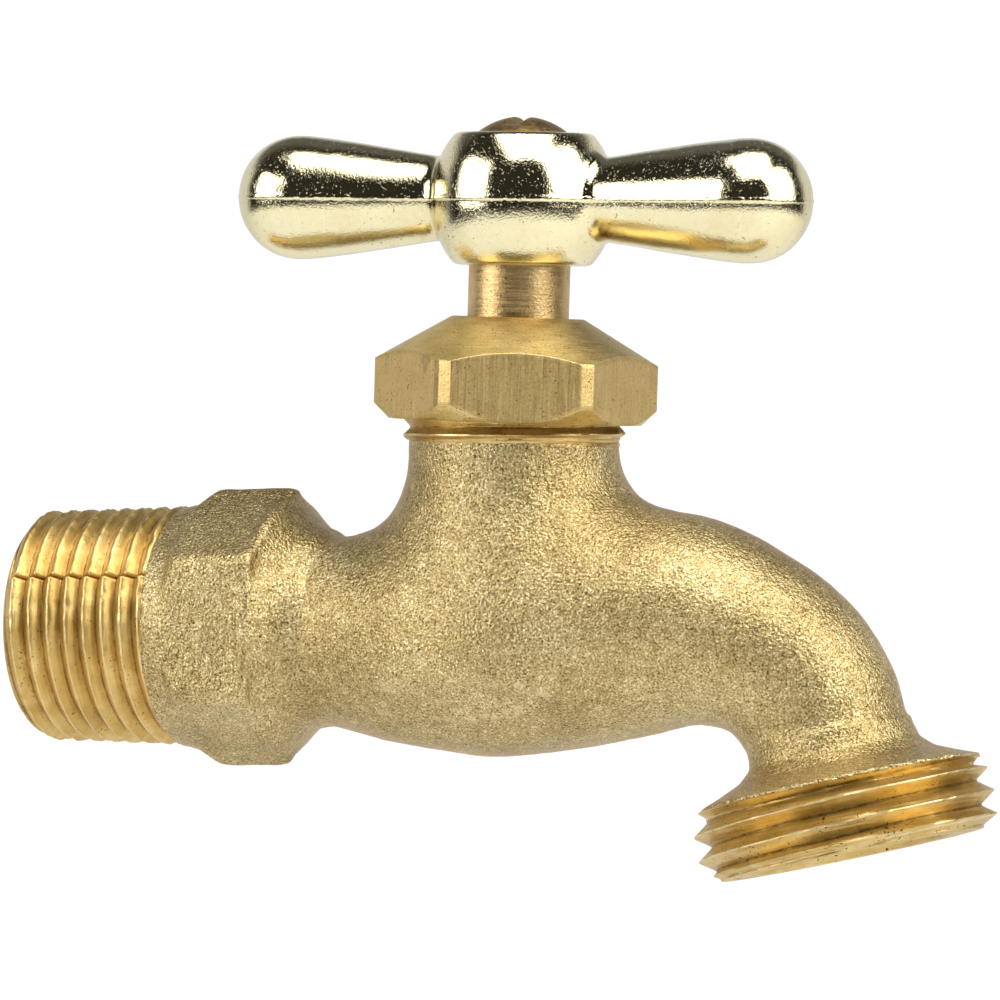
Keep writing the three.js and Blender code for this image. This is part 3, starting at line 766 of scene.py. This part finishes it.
handle_grid = fineness(0.2)
HANDLE_BOX = ((-28.1, -9.1, -6.6 - handle_grid / 2), (28.1, 9.1, 6.6))
handle = mesh_object("handle_piece", *mesh_field(handle_solid, *HANDLE_BOX, handle_grid), AT_HUB)


def screw_field(x, y, z):
    """Domed head with a straight slot, on a plain shank."""
    radius = np.sqrt(x * x + y * y)
    rise = SCREW["top"] - SCREW["shoulder"]
    ball_radius = (SCREW["head"] ** 2 + rise**2) / (2 * rise)
    dome = np.sqrt(radius**2 + (z - SCREW["top"] + ball_radius) ** 2) - ball_radius
    blend = SCREW_BLEND
    head = smooth_max(radius - SCREW["head"], SCREW["seat"] - z, blend["rim"])
    head = smooth_max(head, dome, blend["dome"])
    solid = smooth_min(head, cylinder(SCREW_SHANK, radius, z), blend["shank"])
    slot_turn = math.radians(SLOT["turn"])
    across = np.abs(y * math.cos(slot_turn) - x * math.sin(slot_turn))
    slot = np.maximum(across - SLOT["width"] / 2, SCREW["top"] - SLOT["depth"] - z)
    return smooth_max(solid, -slot, blend["slot"])


SCREW_BOX = ((-4.6, -4.6, 35.7), (4.6, 4.6, 46.2))
screw_mesh = mesh_field(screw_field, *SCREW_BOX, fineness(0.12))
handle_screw = mesh_object("handle_screw_piece", *screw_mesh, AT_BONNET)


# ------ materials

class Nodes:
    """Short calls for building a node tree."""

    MIX_FACTOR, MIX_A, MIX_B, MIX_RESULT = 0, 6, 7, 2      # a colour mix's sockets

    def __init__(self, tree):
        self.tree = tree
        self.tree.nodes.clear()

    def set(self, socket, value):
        if isinstance(value, bpy.types.NodeSocket):
            self.tree.links.new(value, socket)
        else:
            socket.default_value = value

    def add(self, kind, inputs=None, **settings):
        made = self.tree.nodes.new("ShaderNode" + kind)
        for key, value in settings.items():
            setattr(made, key, value)
        for key, value in (inputs or {}).items():
            self.set(made.inputs[key], value)
        return made

    def math(self, operation, a, b):
        return self.add("Math", {0: a, 1: b}, operation=operation).outputs[0]

    def noise(self, vector, size, detail, rough=0.5, stretch=(1, 1, 1)):
        """Noise from 0 to 1 with features of the given size in millimetres."""
        scale = [s / (size * MM) for s in stretch]
        mapped = self.add("Mapping", {"Vector": vector, "Scale": scale}).outputs[0]
        inputs = {"Vector": mapped, "Scale": 1.0, "Detail": detail, "Roughness": rough}
        return self.add("TexNoise", inputs).outputs["Fac"]

    def ramp(self, value, stops):
        made = self.add("ValToRGB", {"Fac": value})
        elements = made.color_ramp.elements
        while len(elements) < len(stops):
            elements.new(0.5)
        for element, (position, color) in zip(elements, stops):
            element.position = position
            element.color = (*color, 1.0)
        return made.outputs["Color"]

    def grey_ramp(self, value, stops):
        return self.ramp(value, [(p, (v, v, v)) for p, v in stops])

    def mix(self, factor, a, b):
        made = self.add("Mix", data_type="RGBA")
        self.set(made.inputs[self.MIX_FACTOR], factor)
        for key, value in ((self.MIX_A, a), (self.MIX_B, b)):
            self.set(made.inputs[key], (*value, 1.0) if isinstance(value, tuple) else value)
        return made.outputs[self.MIX_RESULT]

    def bump(self, height, distance, normal=None):
        """A normal over a height from 0 to 1 that stands for a distance in millimetres."""
        inputs = {"Strength": 1.0, "Distance": distance * MM, "Height": height}
        if normal is not None:
            inputs["Normal"] = normal
        return self.add("Bump", inputs).outputs[0]


def new_material(name):
    material = bpy.data.materials.new(name)
    material.use_nodes = True
    return material, Nodes(material.node_tree)


def surfaced(n, material, inputs):
    """The material with its shader put on its output."""
    shader = n.add("BsdfPrincipled", inputs)
    n.add("OutputMaterial", {"Surface": shader.outputs[0]})
    return material


def grain_tones(n, place, grain, tones):
    """Colour over the sum of the grain noises, and the first of those noises."""
    total = first = None
    for size, stretch, detail, weight in grain:
        value = n.noise(place, size, detail, 0.6, stretch)
        part = n.math("MULTIPLY", value, weight)
        total = part if total is None else n.math("ADD", total, part)
        first = first or value
    return n.ramp(total, tones), first


def with_spots(n, place, color, size, coverage, dark):
    fine = n.math("MULTIPLY", n.noise(place, size, 1.0, 0.5), 0.75)
    patches = n.math("MULTIPLY", n.noise(place, size * 9, 2.0, 0.6), 0.25)
    mask = n.grey_ramp(n.math("ADD", fine, patches), [(coverage, 1.0), (coverage + 0.035, 0.0)])
    return n.mix(mask, color, dark)


def with_edges(n, place, color, start, full, tone):
    """A broken line of another tone along the outer edges, by Pointiness: painted highlight on the casting,
    painted shade on the nut, a lighter line on the screw.
    """
    point = n.add("NewGeometry").outputs["Pointiness"]
    # the edge line, in the tone given: painted highlight or painted shade where the material says so
    edge_line = n.grey_ramp(point, [(start, 0.0), (full, 1.0)])
    patchy = n.grey_ramp(n.noise(place, 0.8, 3.0, 0.7), [(0.3, 0.2), (0.7, 1.0)])
    return n.mix(n.math("MULTIPLY", n.math("MULTIPLY", edge_line, patchy), 0.6), color, tone)


def with_thread_highlight_and_shade(n, place, color, crest_highlight, root_shade):
    """Painted light on the threads: a painted highlight on the crests and painted shade in the roots, both
    in patches.
    """
    depth = n.add("Attribute", attribute_name="thread_depth").outputs["Fac"]
    patchy = n.grey_ramp(n.noise(place, 1.1, 3.0, 0.7), [(0.35, 0.25), (0.6, 1.0)])
    # painted highlight along the crests
    crest = n.grey_ramp(depth, [(0.03, 0.5), (0.1, 0.0)])
    # painted shade in the roots
    root = n.grey_ramp(depth, [(0.85, 0.0), (0.93, 0.75)])
    color = n.mix(n.math("MULTIPLY", crest, patchy), color, crest_highlight)
    return n.mix(n.math("MULTIPLY", root, patchy), color, root_shade)


def with_rim_shade(n, color, strength, tone):
    """Painted shade: a darker tone where the surface turns away from view."""
    facing = n.add("LayerWeight", {"Blend": 0.5}).outputs["Facing"]
    return n.mix(n.grey_ramp(facing, [(0.58, 0.0), (0.92, strength)]), color, tone)


def metal(name, tones, grain, rough, bumps, spots, axis_turn=0.0, edge=None, rim=None, thread=None,
          grit=None, dullness=0.0):
    """A procedural metal.

    tones: colour stops over the sum of the grain noises; grain: (size, stretch, detail, weight) rows;
    rough: (low, high) roughness over the first grain; bumps: (size, stretch, detail, height in mm) rows;
    spots: (size, coverage, colour) of dark pits; axis_turn: degrees from Z to the axis of the marks;
    edge: (start, full, colour) of a line along the edges by Pointiness; rim: (strength, colour) of painted
    shade towards grazing angles;
    thread: (painted crest highlight colour, painted root shade colour); grit: (size, level, height in mm) of
    separate fine grains;
    dullness: share of the oxide skin.
    """
    material, n = new_material(name)
    place = n.add("TexCoord").outputs["Object"]
    if axis_turn:
        place = n.add("Mapping", {"Vector": place, "Rotation": (0, math.radians(-axis_turn), 0)}).outputs[0]
    color, first = grain_tones(n, place, grain, tones)
    color = with_spots(n, place, color, *spots)
    if edge:
        color = with_edges(n, place, color, *edge)
    if thread:
        color = with_thread_highlight_and_shade(n, place, color, *thread)
    if rim:
        color = with_rim_shade(n, color, *rim)
    low, high = rough
    roughness = n.grey_ramp(first, [(0.3, low), (0.7, high)])
    normal = None
    for size, stretch, detail, height in bumps:
        normal = n.bump(n.noise(place, size, detail, 0.55, stretch), height, normal)
    if grit:
        size, level, height = grit
        grains = n.grey_ramp(n.noise(place, size, 2.0, 0.6), [(level, 0.0), (level + 0.07, 1.0)])
        normal = n.bump(grains, height, normal)
    return surfaced(n, material, {
        "Base Color": color, "Metallic": 1.0 - dullness, "Roughness": roughness, "Normal": normal,
    })


EVEN = (1, 1, 1)
DRAWN = (1, 1, 0.02)
TURNED = (0.05, 0.05, 1)
FINE_GRAIN_BUMP = (0.25, EVEN, 2.0, 0.03)

cast_brass = metal(
    "cast_brass",
    tones=[(0.36, (0.165, 0.112, 0.037)), (0.46, (0.41, 0.3, 0.121)), (0.54, (0.555, 0.427, 0.184)),
           (0.63, (0.91, 0.78, 0.475))],
    grain=[(0.18, EVEN, 2.0, 0.65), (0.9, EVEN, 3.0, 0.17), (10.0, EVEN, 2.0, 0.18)],
    rough=(0.32, 0.44),
    bumps=[(1.2, EVEN, 2.0, 0.03), (0.3, EVEN, 2.0, 0.165)],
    spots=(0.18, 0.34, (0.13, 0.08, 0.03)),
    # painted highlight: a lighter line along the casting's edges
    edge=(0.535, 0.6, (0.86, 0.72, 0.42)),
    # painted shade: darker brown where the casting turns away from view
    rim=(0.5, (0.46, 0.28, 0.13)),
    dullness=0.16,
)
inlet_brass = metal(
    "inlet_brass",
    tones=[(0.3, (0.48, 0.3, 0.085)), (0.5, (0.65, 0.44, 0.14)), (0.7, (0.82, 0.63, 0.28))],
    grain=[(1.6, (5, 0.15, 0.15), 3.0, 0.35), (3.0, EVEN, 3.0, 0.65)],
    rough=(0.38, 0.5),
    bumps=[(1.6, (5, 0.1, 0.1), 2.0, 0.03), (0.25, EVEN, 2.0, 0.02)],
    spots=(0.24, 0.31, (0.16, 0.08, 0.02)),
    # painted highlight on the thread crests, painted shade in the roots
    thread=((0.95, 0.84, 0.56), (0.2, 0.11, 0.03)),
)


def cut_brass(name, axis_turn, spots):
    """Brass cut on a lathe round an axis turned from Z."""
    return metal(
        name,
        tones=[(0.3, (0.43, 0.29, 0.09)), (0.5, (0.63, 0.45, 0.165)), (0.7, (0.86, 0.68, 0.36))],
        grain=[(1.6, (0.15, 0.15, 5), 3.0, 0.5), (3.0, EVEN, 3.0, 0.5)],
        rough=(0.32, 0.46),
        bumps=[(1.6, (0.08, 0.08, 3.6), 3.0, 0.13), FINE_GRAIN_BUMP],
        spots=spots, axis_turn=axis_turn,
        # painted highlight on the thread crests, painted shade in the roots
        thread=((0.95, 0.86, 0.6), (0.14, 0.08, 0.02)),
    )


outlet_brass = cut_brass("outlet_brass", -OUTLET["tilt"], (0.3, 0.325, (0.1, 0.06, 0.02)))
neck_brass = cut_brass("neck_brass", LEAN, (0.2, 0.33, (0.12, 0.07, 0.02)))
nut_brass = metal(
    "nut_brass",
    tones=[(0.3, (0.51, 0.355, 0.13)), (0.5, (0.69, 0.5, 0.2)), (0.7, (0.86, 0.68, 0.32))],
    grain=[(0.12, DRAWN, 2.0, 0.4), (0.2, EVEN, 2.0, 0.35), (2.5, EVEN, 3.0, 0.25)],
    rough=(0.4, 0.52),
    bumps=[(0.12, DRAWN, 1.0, 0.012), FINE_GRAIN_BUMP],
    spots=(0.2, 0.315, (0.2, 0.12, 0.03)), axis_turn=LEAN,
    # painted shade: a dark line along the nut's edges
    edge=(0.51, 0.54, (0.22, 0.14, 0.04)),
)
nut_turned = metal(
    "nut_turned",
    tones=[(0.3, (0.48, 0.35, 0.13)), (0.5, (0.66, 0.5, 0.21)), (0.7, (0.82, 0.66, 0.34))],
    grain=[(0.12, TURNED, 2.0, 0.35), (0.2, EVEN, 2.0, 0.3), (2.5, EVEN, 3.0, 0.35)],
    rough=(0.36, 0.48),
    bumps=[(0.12, TURNED, 2.0, 0.014), FINE_GRAIN_BUMP],
    spots=(0.2, 0.315, (0.16, 0.1, 0.03)), axis_turn=LEAN,
)
stem_brass = metal(
    "stem_brass",
    tones=[(0.3, (0.48, 0.31, 0.13)), (0.5, (0.66, 0.46, 0.2)), (0.7, (0.8, 0.6, 0.33))],
    grain=[(0.16, TURNED, 2.0, 0.25), (0.2, EVEN, 2.0, 0.35), (1.8, EVEN, 3.0, 0.4)],
    rough=(0.3, 0.44),
    bumps=[(0.18, TURNED, 2.0, 0.014), FINE_GRAIN_BUMP],
    spots=(0.2, 0.3, (0.12, 0.06, 0.03)), axis_turn=LEAN,
)
screw_brass = metal(
    "screw_brass",
    tones=[(0.3, (0.17, 0.11, 0.035)), (0.5, (0.3, 0.205, 0.075)), (0.7, (0.5, 0.36, 0.16))],
    grain=[(0.4, EVEN, 3.0, 0.5), (2.0, EVEN, 3.0, 0.5)],
    rough=(0.34, 0.5),
    bumps=[FINE_GRAIN_BUMP],
    spots=(0.25, 0.33, (0.08, 0.05, 0.02)), axis_turn=LEAN,
    edge=(0.53, 0.62, (0.8, 0.62, 0.3)),
)
plated_handle = metal(
    "plated_handle",
    tones=[(0.3, (0.81, 0.71, 0.425)), (0.5, (0.87, 0.79, 0.51)), (0.7, (0.9, 0.84, 0.58))],
    grain=[(0.6, EVEN, 3.0, 0.4), (6.0, EVEN, 3.0, 0.6)],
    rough=(0.04, 0.12),
    bumps=[(2.6, EVEN, 1.0, 0.02), (0.2, EVEN, 3.0, 0.022)],
    spots=(0.3, 0.3, (0.4, 0.3, 0.12)),
    grit=(0.2, 0.66, 0.009),
)


def soft_material(name, tones, size, rough, height):
    """Rubber or graphite: dull, with a fine grain."""
    material, n = new_material(name)
    place = n.add("TexCoord").outputs["Object"]
    value = n.noise(place, size, 4.0, 0.6)
    roughness = n.grey_ramp(value, [(0.3, rough[0]), (0.7, rough[1])])
    normal = n.bump(n.noise(place, size / 2, 3.0), height)
    color = n.ramp(value, tones)
    return surfaced(n, material, {"Base Color": color, "Roughness": roughness, "Normal": normal})


black_rubber = soft_material(
    "black_rubber", [(0.3, (0.012, 0.012, 0.012)), (0.7, (0.035, 0.034, 0.033))], 0.6, (0.55, 0.75), 0.01
)
graphite = soft_material(
    "graphite_packing", [(0.3, (0.03, 0.03, 0.032)), (0.7, (0.11, 0.11, 0.115))], 0.5, (0.4, 0.65), 0.03
)


# ------ pieces on their bodies

def finish_piece(obj, body, slot, material, node):
    obj.data.materials.append(material)
    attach(obj, body)
    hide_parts(node)


for piece in (
    (valve_casting, "valve_body", "cast_brass", cast_brass, "valve_body"),
    (inlet_thread, "valve_body", "turned_brass", inlet_brass, "valve_body"),
    (outlet_thread, "valve_body", "turned_brass", outlet_brass, "valve_body"),
    (neck_thread, "valve_body", "turned_brass", neck_brass, "valve_body"),
    (packing_nut, "valve_body", "turned_brass", nut_brass, "packing_nut"),
    (stem, "stem_and_handle", "stem_brass", stem_brass, "stem"),
    (handle, "stem_and_handle", "plated_handle", plated_handle, "handle"),
    (handle_screw, "stem_and_handle", "screw_brass", screw_brass, "handle_screw"),
):
    finish_piece(*piece)

# The nut's flats keep the marks of drawing; everything that leans from the axis was turned.
packing_nut.data.materials.append(nut_turned)
nut_axis = AT_BONNET.to_3x3() @ Vector((0, 0, 1))
for polygon in packing_nut.data.polygons:
    polygon.material_index = 1 if abs(polygon.normal.dot(nut_axis)) > 0.2 else 0

for node_name, material in (
    ("gland_washer", nut_brass), ("friction_ring", nut_brass), ("stem_packing", graphite),
    ("seat_washer", black_rubber), ("seat_washer_screw", stem_brass),
):
    for material_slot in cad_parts[node_name].material_slots:
        material_slot.material = material

# ------ camera

VIEW_AZIMUTH = 21.5
VIEW_RISE = 1.0
VIEW_ROLL = -0.3
DISTANCE = 0.9
LENS = 359.6
SENSOR = 36.0
AIM_RIGHT = -0.00068
AIM_UP = 0.01135


def direction_from(azimuth_degrees, height_degrees):
    """Unit vector at an angle round Z from -Y and at a height above the horizon."""
    a, e = math.radians(azimuth_degrees), math.radians(height_degrees)
    return Vector((math.sin(a) * math.cos(e), -math.cos(a) * math.cos(e), math.sin(e)))


def studio_camera():
    towards_camera = direction_from(VIEW_AZIMUTH, VIEW_RISE)
    azimuth = math.radians(VIEW_AZIMUTH)
    right = Vector((math.cos(azimuth), math.sin(azimuth), 0))
    up = towards_camera.cross(right)
    target = Vector((STEM_X * MM, 0, 0))
    data = bpy.data.cameras.new("camera")
    data.lens = LENS
    data.sensor_width = SENSOR
    camera = bpy.data.objects.new("camera", data)
    link(camera)
    camera.location = target + DISTANCE * towards_camera
    look = target + AIM_RIGHT * right + AIM_UP * up - camera.location
    turn = look.to_track_quat("-Z", "Y").to_matrix().to_4x4()
    roll = Matrix.Rotation(math.radians(VIEW_ROLL), 4, "Z")
    camera.matrix_world = Matrix.Translation(camera.location) @ turn @ roll
    bpy.context.scene.camera = camera


studio_camera()

# ------ floor, world and lights

FLOOR = dict(z=-0.075, radius=0.45, rough=0.9, glow=0.215, glow_color=(1, 0.985, 0.94, 1),
             tones=[(0.3, (0.6, 0.595, 0.58)), (0.7, (0.64, 0.635, 0.62))])


def floor_disc():
    """A pale disc that throws a little light of its own up at the object."""
    mesh = bmesh.new()
    bmesh.ops.create_circle(mesh, cap_ends=True, segments=96, radius=FLOOR["radius"])
    data = bpy.data.meshes.new("floor")
    mesh.to_mesh(data)
    mesh.free()
    obj = bpy.data.objects.new("floor", data)
    obj.location = (STEM_X * MM, 0, FLOOR["z"])
    link(obj)
    material, n = new_material("floor_white")
    place = n.add("TexCoord").outputs["Object"]
    color = n.ramp(n.noise(place, 40, 3.0), FLOOR["tones"])
    data.materials.append(surfaced(n, material, {
        "Base Color": color, "Roughness": FLOOR["rough"],
        "Emission Color": FLOOR["glow_color"], "Emission Strength": FLOOR["glow"],
    }))


floor_disc()

ROOM = (0.027, 0.0255, 0.0225)
BACKDROP = (0.72, 0.72, 0.72)
SEEN_WHITE = (1.05, 1.05, 1.05)


def studio_world():
    """White to the camera; to everything else a dark room with a white backdrop behind the object."""
    world = bpy.data.worlds.new("studio")
    bpy.context.scene.world = world
    world.use_nodes = True
    n = Nodes(world.node_tree)
    direction = n.add("TexCoord").outputs["Generated"]
    rise = n.add("SeparateXYZ", {0: direction}).outputs["Z"]
    away = -direction_from(VIEW_AZIMUTH, 0)
    back = n.add("VectorMath", {0: direction, 1: away}, operation="DOT_PRODUCT").outputs["Value"]
    behind = n.grey_ramp(back, [(0.3, 0.0), (0.5, 1.0)])
    low = n.grey_ramp(rise, [(0.4, 1.0), (0.54, 0.13)])
    room = n.mix(n.math("MULTIPLY", behind, low), ROOM, BACKDROP)
    seen = n.add("LightPath").outputs["Is Camera Ray"]
    shader = n.add("Background", {"Color": n.mix(seen, room, SEEN_WHITE), "Strength": 1.0})
    n.add("OutputWorld", {"Surface": shader.outputs[0]})


studio_world()

SOFTBOX_DISTANCE = 0.8
SOFTBOX_AIM = Vector((STEM_X * MM, 0, 0.02))


def softbox(name, turn, height, size, radiance):
    """A softbox: turn is measured from the camera's direction, height above the horizon, in degrees."""
    direction = direction_from(VIEW_AZIMUTH + turn, height)
    light = bpy.data.lights.new(name, "AREA")
    light.shape = "RECTANGLE"
    light.size, light.size_y = size
    light.energy = radiance * math.pi * size[0] * size[1]
    obj = bpy.data.objects.new(name, light)
    obj.location = SOFTBOX_AIM + SOFTBOX_DISTANCE * direction
    obj.rotation_mode = "QUATERNION"
    obj.rotation_quaternion = direction.to_track_quat("Z", "Y")
    obj.visible_camera = False
    link(obj)


softbox("softbox_top", turn=10, height=69, size=(0.72, 0.76), radiance=4.0)
softbox("softbox_left", turn=-69, height=17, size=(0.5, 0.5), radiance=4.3)
softbox("softbox_right", turn=60, height=26, size=(0.66, 0.68), radiance=4.1)

bpy.context.scene.view_settings.view_transform = "Standard"
